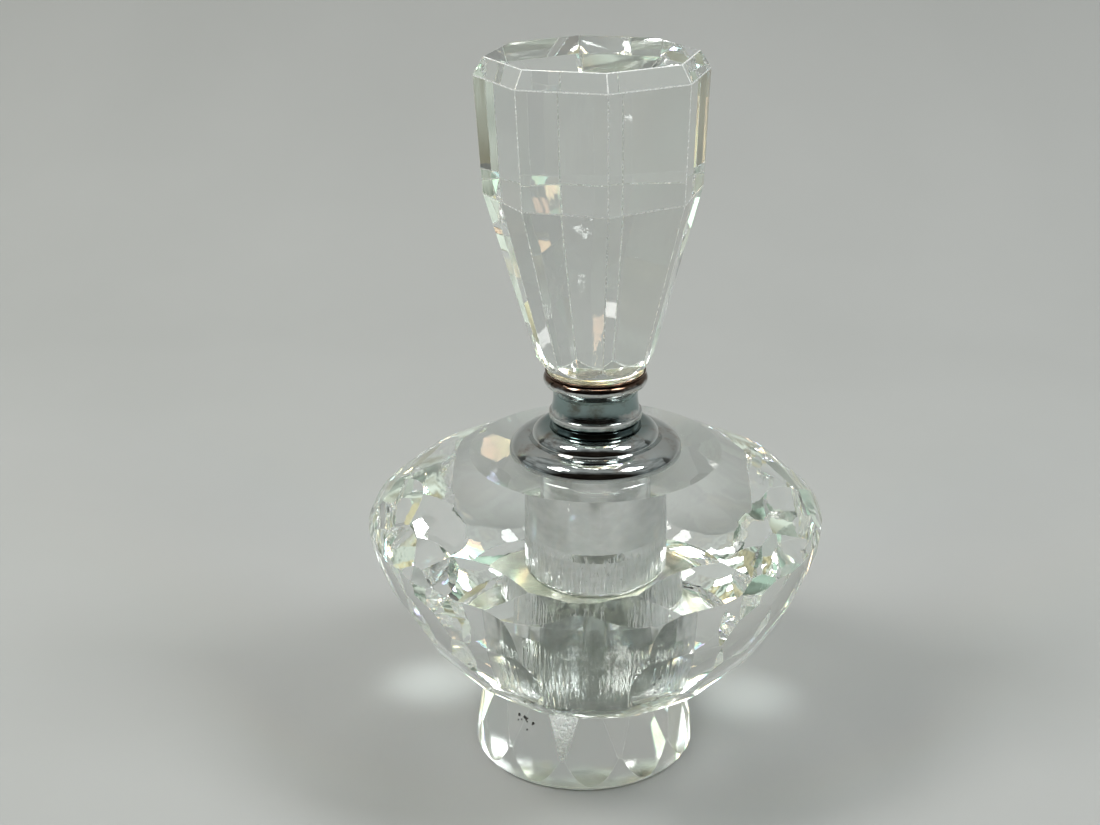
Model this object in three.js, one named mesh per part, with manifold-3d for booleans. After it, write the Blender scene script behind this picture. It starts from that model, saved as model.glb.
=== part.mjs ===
// Cut-crystal perfume bottle with a screw-on dauber stopper.
// Millimetres, +Z up. The origin is the middle of the foot's underside, and the clear front window of the
// body faces -Y. Azimuths are in degrees from the front, growing towards +X.

import * as THREE from 'three';
import { mergeVertices } from 'three/addons/utils/BufferGeometryUtils.js';
import Module from 'manifold-3d';

// ---- Driving dimensions -------------------------------------------------------------------------------

// Clearance left between pieces that are glued, pressed or resting on each other.
const seatGap = 0.3;

// Foot: a low turned drum, a little wider at the base, with two rows of facets. It is cemented by hand, a
// little off the body's axis.
const foot = {
  offset: -2,
  turn: 7, // azimuth of one tall facet
  baseRadius: 18.9,
  topRadius: 18.2,
  height: 12.6,
  edgeHeight: 0.6,
  facetsAround: 12,
  facetTilt: 9.5,
  notchTilt: 14.2,
  notchDepth: 0.65, // at the foot's top, in from the corner of two tall facets
};

// Glue between foot and body.
const footGlue = { radius: 16, thickness: 0.6 };

// Body, built up from its underside: belly, girdle band, a narrow bevel, conical crown and flat table.
const body = {
  height: 40.3,
  bottomRadius: 18.2,
  bellyPullInset: 3.5, // control point of the belly's curve, in from the girdle
  bellyPullRise: 8.6, // and up from the underside
  girdleRadius: 38.1, // widest ring
  girdleBand: 2.3,
  girdleBevel: 1.7,
  crownInset: 0.8, // lower edge of the crown, in from the girdle
  crownDepth: 8.5, // from the table down
  tableRadius: 20.8,
};

// Drilled cavity, straight from the table down, with a rounded floor.
const cavity = { radius: 9.2, floorThickness: 6.7, floorRounding: 2.4 };

// Neck insert: glued in the cavity's mouth, with a screw thread above the table.
const insert = {
  spigotLength: 11.5,
  glueThickness: 0.3,
  flangeOverhang: 1.2, // beyond the cavity's wall
  flangeThickness: 1.0,
  neckRadius: 4.3,
  boreRadius: 3.2,
};

// Screw thread between the neck insert and the cap's liner.
const thread = {
  pitch: 1.5,
  height: 0.5,
  width: 0.62,
  rootSunk: 0.2, // how deep the ridge is buried in its wall
  crestClearance: 0.15, // between the two ridges' crests
  rootClearance: 0.4, // between a ridge's crest and the wall opposite
  startAboveCollar: 0.75,
  endBelowNeck: 1.325, // plain neck above the ridge
};

// Chromed collar on the table: a wide lower tier, a groove, an upper dome and a small top ring.
const collar = {
  rimWidth: 3.5, // lower tier, beyond the hollow that clears the insert's flange
  rimLift: 0.45, // widest point, above the underside
  lowerHeight: 2.6,
  upperRadius: 10.5,
  upperRise: 2.3, // above the lower tier
  grooveDepth: 0.2, // under the upper dome
  ringRadius: 7.2,
  ringStep: 0.3, // from the dome up to the ring
  ringRise: 0.4, // above the upper dome
};

// Chromed screw cap: skirt, waist, bead and a shallow cup for the stopper. Walls are beyond the inside.
const cap = {
  skirtGap: 0.4, // above the collar's top ring
  height: 8.3,
  skirtWall: 1.3,
  skirtHeight: 1.1,
  waistWall: 0.65,
  waistHeight: 4.3,
  beadWall: 2.2,
  beadRadius: 1.1, // of the bead's round section
  beadDrop: 1.4, // bead's middle below the cap's top
  lipWall: 1.9,
  lipWidth: 0.6,
  cupDepth: 0.5,
  floorThickness: 0.6,
  edgeRounding: 0.2,
  beadFlare: 0.5, // from the waist out to the bead's underside
};

const liner = { topThickness: 0.7, wall: 0.8, skirtAboveCap: 0.4 };
const sealWasher = { thickness: 0.5 };
const neckGasket = { thickness: 0.5, overhang: 0.1 };

// Dauber: a plastic plug that holds a glass rod with a rounded tip.
const dauber = {
  plugClearance: 0.4, // in the insert's bore
  plugLength: 9,
  plugLeadIn: 0.4,
  rodRadius: 1.6,
  rodChamfer: 0.4,
  tipRadius: 2.3,
  tipLength: 6,
  tipAboveFloor: 2.5,
  socketDepth: 8,
};

// Stopper: octagonal, tapering down to the cap, with a bevelled top. Radii are to the corners. Its lower
// end is turned round to sit on the cap. It is cemented by hand, leaning a little towards -X.
const stopper = {
  sides: 8,
  turn: 10, // azimuth of one corner
  lean: 0.5, // degrees
  turnedOverhang: 0.2, // round lower edge, beyond the cap's lip
  cornerOverhang: 0.8, // corners of the lower end, beyond the round edge
  turnedHeight: 2.8,
  turnedFlare: 2.2, // how much wider the round blank is at that height
  height: 49.6,
  shoulderRadius: 17.3,
  shoulderHeight: 28.7, // above the stopper's bottom
  rimRadius: 18.2,
  rimDrop: 2.7, // below the top
  topRadius: 16.5,
};
const stopperGlue = { thickness: 0.3 };

const roundSegments = { body: 64, metal: 40, small: 24 };

const degrees = THREE.MathUtils.degToRad;

// ---- Places worked out from the sizes above -----------------------------------------------------------

const footTop = foot.height;
const footGlueBottom = footTop + seatGap;
const bodyBottom = footGlueBottom + footGlue.thickness + seatGap;
const tableHeight = bodyBottom + body.height;
const crownHeight = tableHeight - body.crownDepth;
const crownRadius = body.girdleRadius - body.crownInset;
const girdleTop = crownHeight - body.girdleBevel;
const girdleBottom = girdleTop - body.girdleBand;
const cavityFloor = bodyBottom + cavity.floorThickness;

const flangeBottom = tableHeight + seatGap;
const flangeTop = flangeBottom + insert.flangeThickness;
const flangeRadius = cavity.radius + insert.flangeOverhang;
const spigotBottom = tableHeight - insert.spigotLength;
const glueOuter = cavity.radius - seatGap;
const glueInner = glueOuter - insert.glueThickness;
const spigotRadius = glueInner - seatGap;

const collarHollow = flangeRadius + seatGap;
const collarRadius = collarHollow + collar.rimWidth;
const collarLowerTop = flangeBottom + collar.lowerHeight;
const collarUpperTop = collarLowerTop + collar.upperRise;
const collarTop = collarUpperTop + collar.ringRise;

const neckCrest = insert.neckRadius + thread.height;
const linerBore = neckCrest + thread.rootClearance;
const linerCrest = neckCrest + thread.crestClearance;
const linerRadius = linerBore + liner.wall;
const capInside = linerRadius + seatGap;
const capBottom = collarTop + cap.skirtGap;
const capTop = capBottom + cap.height;
const lipRadius = capInside + cap.lipWall;
const cupRadius = lipRadius - cap.lipWidth;
const cupFloor = capTop - cap.cupDepth;
const capCeiling = cupFloor - cap.floorThickness;

const linerTop = capCeiling - seatGap;
const linerCeiling = linerTop - liner.topThickness;
const washerBottom = linerCeiling - seatGap - sealWasher.thickness;
const gasketBottom = washerBottom - seatGap - neckGasket.thickness;
const neckTop = gasketBottom - seatGap;
const threadBottom = collarTop + thread.startAboveCollar;
const threadTurns = (neckTop - thread.endBelowNeck - threadBottom) / thread.pitch;

const plugRadius = insert.boreRadius - dauber.plugClearance;
const plugTop = linerCeiling - seatGap;
const plugBottom = plugTop - dauber.plugLength;
const socketTop = plugBottom + dauber.socketDepth;
const rodTop = socketTop - seatGap;
const rodBottom = cavityFloor + dauber.tipAboveFloor;

const turnedRadius = lipRadius + stopper.turnedOverhang;
const leanDrop = turnedRadius * Math.sin(degrees(stopper.lean));
const stopperBottom = capTop + seatGap + stopperGlue.thickness + seatGap + leanDrop;

// ---- Solids -------------------------------------------------------------------------------------------

const wasm = await Module();
wasm.setup();

function toSolid(geometry) {
  const bare = geometry.clone();
  bare.deleteAttribute('normal');
  bare.deleteAttribute('uv');
  const merged = mergeVertices(bare, 1e-4);
  return new wasm.Manifold(new wasm.Mesh({
    numProp: 3,
    vertProperties: new Float32Array(merged.attributes.position.array),
    triVerts: new Uint32Array(merged.index.array),
  }));
}

function toGeometry(solid) {
  const mesh = solid.getMesh();
  const geometry = new THREE.BufferGeometry();
  geometry.setAttribute('position', new THREE.BufferAttribute(new Float32Array(mesh.vertProperties), 3));
  geometry.setIndex(new THREE.BufferAttribute(new Uint32Array(mesh.triVerts), 1));
  geometry.computeVertexNormals();
  return geometry;
}

// Turns a closed outline of [radius, height] points, listed anticlockwise, about Z.
function turned(outline, segments, startAzimuth = 0) {
  const points = outline.map(([radius, height]) => new THREE.Vector2(radius, height));
  const geometry = new THREE.LatheGeometry(points, segments, degrees(startAzimuth));
  return geometry.rotateX(Math.PI / 2);
}

// A turned ring or tube: its outline doesn't touch the axis, so it is closed on itself.
function turnedRing(outline, segments) {
  return turned([...outline, outline[0]], segments);
}

// Points of a quadratic curve from one [radius, height] to another, both ends included.
function curvePoints(from, pull, to, steps) {
  const curve = new THREE.QuadraticBezierCurve(
    new THREE.Vector2(...from),
    new THREE.Vector2(...pull),
    new THREE.Vector2(...to),
  );
  return curve.getPoints(steps).map((point) => [point.x, point.y]);
}

// Points of a circular arc, in degrees from the outward direction towards +Z.
function arcPoints([centreRadius, centreHeight], radius, fromAngle, toAngle, steps) {
  const points = [];
  for (let i = 0; i <= steps; i += 1) {
    const angle = degrees(fromAngle + ((toAngle - fromAngle) * i) / steps);
    points.push([centreRadius + radius * Math.cos(angle), centreHeight + radius * Math.sin(angle)]);
  }
  return points;
}

// Points of an upright quarter of an ellipse, from its widest point up to just outside its top.
const domeEnd = degrees(84);
function ellipsePoints([centreRadius, centreHeight], [halfWidth, halfHeight], steps) {
  return Array.from({ length: steps + 1 }, (_, i) => {
    const angle = (domeEnd * i) / steps;
    return [centreRadius + halfWidth * Math.cos(angle), centreHeight + halfHeight * Math.sin(angle)];
  });
}

// Grinds one flat facet. The wheel's plane passes through [radius, height] at that azimuth, and its
// outward normal is tilted up by tilt degrees.
const wheelSize = 4 * body.girdleRadius;
function grind(solid, { azimuth, radius, height, tilt }) {
  const wheel = new THREE.BoxGeometry(wheelSize, wheelSize, wheelSize);
  wheel.translate(0, -wheelSize / 2, 0);
  wheel.rotateX(degrees(-tilt));
  wheel.translate(0, -radius, height);
  wheel.rotateZ(degrees(azimuth));
  return solid.subtract(toSolid(wheel));
}

// Azimuths from first to last in equal steps, on the right side and mirrored on the left.
function bothSides(first, last, step) {
  const azimuths = [];
  for (let azimuth = first; azimuth <= last + 1e-6; azimuth += step) {
    azimuths.push(azimuth, -azimuth);
  }
  return azimuths;
}

function allAround(count, start) {
  return Array.from({ length: count }, (_, i) => start + (360 * i) / count);
}

// ---- Foot ---------------------------------------------------------------------------------------------

function makeFoot() {
  const { baseRadius, topRadius, edgeHeight, facetsAround, facetTilt, notchTilt } = foot;
  const outline = [
    [0, 0],
    [baseRadius, 0],
    [baseRadius, edgeHeight],
    [topRadius, footTop],
    [0, footTop],
  ];
  const step = 360 / facetsAround;
  const facetTopRadius = baseRadius - (footTop - edgeHeight) * Math.tan(degrees(facetTilt));
  const notchRadius = facetTopRadius / Math.cos(degrees(step / 2)) - foot.notchDepth;
  let solid = toSolid(turned(outline, roundSegments.body));
  for (const azimuth of allAround(facetsAround, foot.turn)) {
    // Tall facets stand on one point of the base ring and widen until they meet. Notches between them
    // narrow downwards from the top.
    solid = grind(solid, { azimuth, radius: baseRadius, height: edgeHeight, tilt: facetTilt });
    const between = azimuth + step / 2;
    solid = grind(solid, { azimuth: between, radius: notchRadius, height: footTop, tilt: notchTilt });
  }
  return toGeometry(solid);
}

function makeFootGlue() {
  const top = footGlueBottom + footGlue.thickness;
  const outline = [
    [0, footGlueBottom],
    [footGlue.radius, footGlueBottom],
    [footGlue.radius, top],
    [0, top],
  ];
  return turned(outline, roundSegments.metal);
}

// ---- Body ---------------------------------------------------------------------------------------------

const bellySteps = 14;

// The turned blank's outer outline, from the underside up to the table's edge.
const bodyOutline = [
  ...curvePoints(
    [body.bottomRadius, bodyBottom],
    [body.girdleRadius - body.bellyPullInset, bodyBottom + body.bellyPullRise],
    [body.girdleRadius, girdleBottom],
    bellySteps,
  ),
  [body.girdleRadius, girdleTop],
  [crownRadius, crownHeight],
  [body.tableRadius, tableHeight],
];

// A point of the blank's outline at a height.
function onOutline(height) {
  const next = bodyOutline.findIndex((point) => point[1] > height);
  const [lowRadius, low] = bodyOutline[next - 1];
  const [highRadius, high] = bodyOutline[next];
  const share = (height - low) / (high - low);
  return { radius: lowRadius + (highRadius - lowRadius) * share, height };
}

// Heights at a share of the way up each zone.
const onBelly = (share) => bodyBottom + (girdleBottom - bodyBottom) * share;
const onBand = (share) => girdleBottom + body.girdleBand * share;
const onBevel = (share) => girdleTop + body.girdleBevel * share;
const onCrown = (share) => crownHeight + body.crownDepth * share;

// Each row of facets runs from one height of the blank's outline to another.
function bodyFacets() {
  const facets = [];
  const row = (azimuths, fromHeight, toHeight) => {
    const lower = onOutline(fromHeight);
    const upper = onOutline(toHeight);
    const slope = Math.atan2(lower.radius - upper.radius, upper.height - lower.height);
    const tilt = THREE.MathUtils.radToDeg(slope);
    for (const azimuth of azimuths) facets.push({ azimuth, ...lower, tilt });
  };
  // Girdle band, all the way round: the only facets in the clear front and back windows.
  row(allAround(12, 15), onBand(0.013), onCrown(0.062));
  // Upper row, shallower next to the windows.
  row([45, -45, 135, -135], onBand(0.973), onCrown(0.259));
  row([75, -75, 105, -105], onBand(0.803), onCrown(0.521));
  // Kites and triangles of the girdle.
  row(bothSides(30, 150, 30), onBand(0.31), onCrown(0.244));
  row(bothSides(37.5, 142.5, 15), onBand(0.325), onCrown(0.07));
  row(bothSides(30, 150, 15), onBelly(0.95), onBevel(0.658));
  row(bothSides(37.5, 142.5, 15), onBelly(0.724), onBevel(0.279));
  // Belly.
  row(bothSides(30, 150, 30), onBelly(0.496), onBevel(0.064));
  row(bothSides(45, 135, 30), onBelly(0.362), onBand(0.082));
  row(bothSides(30, 150, 30), onBelly(0.241), onBelly(0.885));
  row(bothSides(45, 135, 30), onBelly(0.128), onBelly(0.695));
  row(bothSides(30, 150, 30), onBelly(0.036), onBelly(0.44));
  return facets;
}

function makeBody() {
  let solid = toSolid(turned([[0, bodyBottom], ...bodyOutline, [0, tableHeight]], roundSegments.body));
  for (const facet of bodyFacets()) solid = grind(solid, facet);
  const { radius, floorRounding } = cavity;
  const drillTop = tableHeight + 1;
  const drill = [
    [0, cavityFloor],
    ...arcPoints([radius - floorRounding, cavityFloor + floorRounding], floorRounding, -90, 0, 5),
    [radius, drillTop],
    [0, drillTop],
  ];
  return toGeometry(solid.subtract(toSolid(turned(drill, roundSegments.body))));
}

// ---- Neck ---------------------------------------------------------------------------------------------

function makeBoreGlue() {
  const bottom = spigotBottom + seatGap;
  const top = tableHeight - seatGap;
  const outline = [[glueInner, bottom], [glueOuter, bottom], [glueOuter, top], [glueInner, top]];
  return turnedRing(outline, roundSegments.metal);
}

// A helical ridge from a root radius to a crest radius, which may lie outside it or inside it. Its section
// stays upright: the geometry is a list of rings joined by quads.
const ridgeStepsPerTurn = 24;
function makeRidge(rootRadius, crestRadius, bottom) {
  const outward = crestRadius > rootRadius;
  const buriedRadius = rootRadius + (outward ? -thread.rootSunk : thread.rootSunk);
  const section = [
    [buriedRadius, -thread.width / 2],
    [crestRadius, -thread.width / 6],
    [crestRadius, thread.width / 6],
    [buriedRadius, thread.width / 2],
  ];
  const steps = Math.round(threadTurns * ridgeStepsPerTurn);
  const positions = [];
  for (let i = 0; i <= steps; i += 1) {
    const turns = (threadTurns * i) / steps;
    const angle = 2 * Math.PI * turns;
    const height = bottom + turns * thread.pitch;
    for (const [radius, rise] of section) {
      positions.push(radius * Math.cos(angle), radius * Math.sin(angle), height + rise);
    }
  }
  const index = [];
  const quad = (a, b, c, d) => {
    if (outward) index.push(a, b, c, a, c, d);
    else index.push(a, c, b, a, d, c);
  };
  const corners = section.length;
  for (let i = 0; i < steps; i += 1) {
    for (let j = 0; j < corners; j += 1) {
      const next = (j + 1) % corners;
      const near = corners * i;
      const far = near + corners;
      quad(near + j, far + j, far + next, near + next);
    }
  }
  const last = corners * steps;
  quad(0, 1, 2, 3);
  quad(last + 3, last + 2, last + 1, last);
  const geometry = new THREE.BufferGeometry();
  geometry.setAttribute('position', new THREE.Float32BufferAttribute(positions, 3));
  geometry.setIndex(index);
  return geometry;
}

function makeInsert() {
  const outline = [
    [insert.boreRadius, spigotBottom],
    [spigotRadius, spigotBottom],
    [spigotRadius, flangeBottom],
    [flangeRadius, flangeBottom],
    [flangeRadius, flangeTop],
    [insert.neckRadius, flangeTop],
    [insert.neckRadius, neckTop],
    [insert.boreRadius, neckTop],
  ];
  const tube = toSolid(turnedRing(outline, roundSegments.metal));
  return toGeometry(tube.add(toSolid(makeRidge(insert.neckRadius, neckCrest, threadBottom))));
}

function makeCollar() {
  const ceiling = flangeTop + seatGap;
  const hole = insert.neckRadius + seatGap;
  const { rimWidth, rimLift, lowerHeight, grooveDepth, upperRadius, upperRise } = collar;
  const { ringRadius, ringStep } = collar;
  const outline = [
    [collarHollow, flangeBottom],
    [collarRadius - rimLift / 2, flangeBottom],
    ...ellipsePoints([collarHollow, flangeBottom + rimLift], [rimWidth, lowerHeight - rimLift], 9),
    [upperRadius, collarLowerTop - grooveDepth],
    ...ellipsePoints([ringRadius, collarLowerTop], [upperRadius - ringRadius, upperRise - ringStep], 8),
    [ringRadius, collarUpperTop],
    [ringRadius, collarTop],
    [hole, collarTop],
    [hole, ceiling],
    [collarHollow, ceiling],
  ];
  return turnedRing(outline, roundSegments.metal);
}

function makeNeckGasket() {
  const outer = insert.neckRadius + neckGasket.overhang;
  const top = gasketBottom + neckGasket.thickness;
  const outline = [
    [insert.boreRadius, gasketBottom],
    [outer, gasketBottom],
    [outer, top],
    [insert.boreRadius, top],
  ];
  return turnedRing(outline, roundSegments.small);
}

// ---- Cap and dauber -----------------------------------------------------------------------------------

function makeSealWasher() {
  const inner = plugRadius + seatGap;
  const outer = linerBore - seatGap;
  const top = washerBottom + sealWasher.thickness;
  const outline = [[inner, washerBottom], [outer, washerBottom], [outer, top], [inner, top]];
  return turnedRing(outline, roundSegments.small);
}

function makeLiner() {
  const bottom = capBottom + liner.skirtAboveCap;
  const outline = [
    [0, linerCeiling],
    [linerBore, linerCeiling],
    [linerBore, bottom],
    [linerRadius, bottom],
    [linerRadius, linerTop],
    [0, linerTop],
  ];
  const cup = toSolid(turned(outline, roundSegments.metal));
  const ridge = toSolid(makeRidge(linerBore, linerCrest, threadBottom + thread.pitch / 2));
  return toGeometry(cup.add(ridge));
}

function makeCap() {
  const skirtRadius = capInside + cap.skirtWall;
  const waistRadius = capInside + cap.waistWall;
  const skirtTop = capBottom + cap.skirtHeight;
  const beadMiddle = capTop - cap.beadDrop;
  const beadCentre = [capInside + cap.beadWall - cap.beadRadius, beadMiddle];
  const { edgeRounding } = cap;
  const outline = [
    [0, capCeiling],
    [capInside, capCeiling],
    [capInside, capBottom],
    [skirtRadius - edgeRounding, capBottom],
    [skirtRadius, capBottom + edgeRounding],
    [skirtRadius, skirtTop],
    ...curvePoints(
      [skirtRadius - edgeRounding, skirtTop + 2 * edgeRounding],
      [waistRadius - edgeRounding, capBottom + cap.waistHeight],
      [waistRadius + cap.beadFlare, beadMiddle - cap.beadRadius - edgeRounding],
      6,
    ),
    ...arcPoints(beadCentre, cap.beadRadius, -60, 70, 7),
    [lipRadius, capTop - edgeRounding],
    [lipRadius - edgeRounding, capTop],
    [cupRadius, capTop],
    [cupRadius, cupFloor],
    [0, cupFloor],
  ];
  return turned(outline, roundSegments.metal);
}

function makePlug() {
  const socketRadius = dauber.rodRadius + seatGap;
  const outline = [
    [0, socketTop],
    [socketRadius, socketTop],
    [socketRadius, plugBottom],
    [plugRadius - dauber.plugLeadIn, plugBottom],
    [plugRadius, plugBottom + 2 * dauber.plugLeadIn],
    [plugRadius, plugTop],
    [0, plugTop],
  ];
  return turned(outline, roundSegments.small);
}

function makeRod() {
  const { rodRadius, rodChamfer, tipRadius, tipLength } = dauber;
  const tipCentre = rodBottom + tipRadius;
  const outline = [
    [0, rodBottom],
    ...arcPoints([0, tipCentre], tipRadius, -75, 0, 5),
    ...curvePoints(
      [tipRadius, tipCentre + tipLength / 12],
      [tipRadius, tipCentre + tipLength / 2],
      [rodRadius, tipCentre + tipLength],
      5,
    ),
    [rodRadius, rodTop - rodChamfer],
    [rodRadius - rodChamfer, rodTop],
    [0, rodTop],
  ];
  return turned(outline, roundSegments.small);
}

// ---- Stopper ------------------------------------------------------------------------------------------

function makeStopperGlue() {
  const ledge = capTop + seatGap;
  const top = ledge + stopperGlue.thickness;
  const outline = [
    [0, cupFloor + seatGap],
    [cupRadius - seatGap, cupFloor + seatGap],
    [cupRadius - seatGap, ledge],
    [lipRadius, ledge],
    [lipRadius, top],
    [0, top],
  ];
  return turned(outline, roundSegments.metal);
}

// Built on its own axis with its bottom at height zero.
function makeStopper() {
  const outline = [
    [0, 0],
    [turnedRadius + stopper.cornerOverhang, 0],
    [stopper.shoulderRadius, stopper.shoulderHeight],
    [stopper.rimRadius, stopper.height - stopper.rimDrop],
    [stopper.topRadius, stopper.height],
    [0, stopper.height],
  ];
  // A round cone that trims the corners near the lower end.
  const flare = stopper.turnedFlare / stopper.turnedHeight;
  const farHeight = stopper.height + 1;
  const sleeve = [
    [0, -1],
    [turnedRadius, -1],
    [turnedRadius, 0],
    [turnedRadius + flare * farHeight, farHeight],
    [0, farHeight],
  ];
  const cut = toSolid(turned(outline, stopper.sides, stopper.turn));
  return toGeometry(cut.intersect(toSolid(turned(sleeve, roundSegments.metal))));
}

// ---- Assembly -----------------------------------------------------------------------------------------

const crystal = { color: 0xe6f0ec, roughness: 0.03, metalness: 0 };
const chrome = { color: 0xc9ccce, roughness: 0.12, metalness: 1 };
const clearGlue = { color: 0xe0dcc4, roughness: 0.3, metalness: 0 };
const greyPlastic = { color: 0x666b68, roughness: 0.3, metalness: 0 };
const whitePlastic = { color: 0xe8e8e2, roughness: 0.4, metalness: 0 };
const softSeal = { color: 0xd9d9d2, roughness: 0.7, metalness: 0 };

const bottle = new THREE.Group();
const footGroup = new THREE.Group();
footGroup.position.x = foot.offset;
const stopperAssembly = new THREE.Group();
const leaningStopper = new THREE.Group();
leaningStopper.position.z = stopperBottom;
leaningStopper.rotation.y = degrees(-stopper.lean);
stopperAssembly.add(leaningStopper);
bottle.add(footGroup, stopperAssembly);

function piece(parent, name, geometry, finish) {
  const mesh = new THREE.Mesh(geometry, new THREE.MeshStandardMaterial(finish));
  mesh.name = name;
  parent.add(mesh);
}

piece(footGroup, 'crystal_foot', makeFoot(), crystal);
piece(footGroup, 'foot_glue', makeFootGlue(), clearGlue);
piece(bottle, 'crystal_body', makeBody(), crystal);
piece(bottle, 'bore_glue', makeBoreGlue(), clearGlue);
piece(bottle, 'neck_insert', makeInsert(), greyPlastic);
piece(bottle, 'neck_collar', makeCollar(), chrome);
piece(stopperAssembly, 'neck_gasket', makeNeckGasket(), softSeal);
piece(stopperAssembly, 'seal_washer', makeSealWasher(), softSeal);
piece(stopperAssembly, 'cap_liner', makeLiner(), whitePlastic);
piece(stopperAssembly, 'screw_cap', makeCap(), chrome);
piece(stopperAssembly, 'dauber_plug', makePlug(), whitePlastic);
piece(stopperAssembly, 'dauber_rod', makeRod(), crystal);
piece(stopperAssembly, 'stopper_glue', makeStopperGlue(), clearGlue);
piece(leaningStopper, 'crystal_stopper', makeStopper(), crystal);

export default bottle;
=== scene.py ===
# A cut-crystal perfume bottle: a faceted glass body on a cemented glass foot, a chromed collar and screw
# cap, and an octagonal glass stopper with a dauber. Shapes are modelled in millimetres and put into the
# scene in metres. Azimuths are in degrees from the front (-Y), growing towards +X.
import math
import random

import bmesh
import bpy
from mathutils import Matrix, Vector


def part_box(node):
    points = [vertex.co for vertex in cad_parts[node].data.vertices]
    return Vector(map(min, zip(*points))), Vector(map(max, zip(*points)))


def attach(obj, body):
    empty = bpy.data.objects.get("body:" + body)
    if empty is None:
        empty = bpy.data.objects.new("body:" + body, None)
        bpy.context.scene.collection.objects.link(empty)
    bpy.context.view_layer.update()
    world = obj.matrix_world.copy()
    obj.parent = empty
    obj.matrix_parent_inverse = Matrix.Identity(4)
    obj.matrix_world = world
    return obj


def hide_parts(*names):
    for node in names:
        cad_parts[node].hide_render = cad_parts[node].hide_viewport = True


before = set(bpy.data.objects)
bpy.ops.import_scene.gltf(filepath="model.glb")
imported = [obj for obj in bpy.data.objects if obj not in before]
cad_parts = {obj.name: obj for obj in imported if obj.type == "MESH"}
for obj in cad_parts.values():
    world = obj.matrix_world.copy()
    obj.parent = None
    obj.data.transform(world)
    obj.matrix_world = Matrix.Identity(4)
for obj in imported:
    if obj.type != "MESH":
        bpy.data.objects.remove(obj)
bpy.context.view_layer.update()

MM = 0.001


def low(node):
    """Lowest corner of a CAD node, in millimetres."""
    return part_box(node)[0] / MM


def high(node):
    """Highest corner of a CAD node, in millimetres."""
    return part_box(node)[1] / MM


# ---- Driving dimensions, in millimetres ----------------------------------------------------------------

BODY_SEGMENTS, FOOT_SEGMENTS, METAL_SEGMENTS = 288, 192, 160
CRYSTAL_SHARP, METAL_SHARP, SPECK_SHARP = 9.6, 25, 60  # degrees between faces from which an edge is sharp

BODY_BOTTOM = low("crystal_body").z
TABLE_HEIGHT = high("crystal_body").z
GIRDLE_RADIUS = high("crystal_body").y
BODY_BOTTOM_RADIUS = 18.2
TABLE_RADIUS = 20.8
CROWN_HEIGHT, CROWN_RADIUS = 45.6, 37.3
GIRDLE_TOP, GIRDLE_BOTTOM = 43.9, 41.6
BELLY_PULL = (34.6, 22.4)
CAVITY_RADIUS, CAVITY_FLOOR, CAVITY_ROUNDING = 9.2, 20.5, 2.4
SCORED_TO, SCORES_FADE = 30, 2  # deep drill scores on the cavity wall reach up to here, and fade over this

# (width, smallest angle in degrees) of the narrow ground edges between facets
BODY_EDGES, FOOT_EDGES, STOPPER_EDGES = (0.09, 5), (0.28, 2.5), (0.11, 8)
BOND_OVERLAP = 0.05  # cemented glass faces run this far into each other, so that no air film shows

FOOT_CENTRE = (high("crystal_foot").x + low("crystal_foot").x) / 2
FOOT_BASE_RADIUS, FOOT_TOP_RADIUS = 18.9, 18.2
FOOT_TOP, FOOT_EDGE, FOOT_ROUNDING = 13.5, 0.6, 0.25
FOOT_FILM_RADIUS, FOOT_FILM_TOP_RADIUS = 16.2, 15.8
FOOT_FACETS, FOOT_TURN = 12, 7
FOOT_FACET_TILT, FOOT_NOTCH_TILT, FOOT_NOTCH_DEPTH = 9.5, 14.2, 0.65
FOOT_CAD_TOP = high("crystal_foot").z

COLLAR_TOP = high("neck_collar").z
COLLAR_HOLLOW, COLLAR_CEILING, COLLAR_HOLE = 10.7, 1.6, 4.7
CAP_BOTTOM, CAP_TOP = low("screw_cap").z, high("screw_cap").z
CAP_BORE, CUP_RADIUS, CUP_FLOOR, CUP_DEPTH = 6.3, 7.6, 1.1, 0.5

STOPPER_SIDES, STOPPER_TURN, STOPPER_LEAN = 8, 10, 0.5
STOPPER_BOTTOM_RADIUS, STOPPER_TURNED_RADIUS, STOPPER_FLARE = 9.2, 8.4, 0.786
STOPPER_SHOULDER = (17.3, 28.7)
STOPPER_RIM = (18.2, 46.9)
STOPPER_TOP = (16.5, 49.6)
STOPPER_LEAN_RISE = STOPPER_TOP[0] * math.sin(math.radians(STOPPER_LEAN))
STOPPER_BOTTOM = high("crystal_stopper").z - STOPPER_TOP[1] - STOPPER_LEAN_RISE

# ---- Light and camera, in metres -----------------------------------------------------------------------

LIGHT_BOUNCES = 96  # light is reflected inside cut glass many times before it gets out
AIM_HEIGHT = 0.05  # the lights look at this height of the bottle's axis


# ---- Mesh helpers --------------------------------------------------------------------------------------

def bezier(start, pull, end, steps):
    """Points of a quadratic curve, both ends included."""
    points = []
    for i in range(steps + 1):
        t = i / steps
        a, b, c = (1 - t) ** 2, 2 * t * (1 - t), t * t
        points.append(tuple(a * s + b * p + c * e for s, p, e in zip(start, pull, end)))
    return points


def ellipse_arc(centre, radii, start, end, steps):
    """Points of an elliptical arc. Angles are in degrees from the outward direction towards +Z."""
    points = []
    for i in range(steps + 1):
        angle = math.radians(start + (end - start) * i / steps)
        points.append((centre[0] + radii[0] * math.cos(angle), centre[1] + radii[1] * math.sin(angle)))
    return points


def arc(centre, radius, start, end, steps):
    """Points of a circular arc."""
    return ellipse_arc(centre, (radius, radius), start, end, steps)


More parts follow.
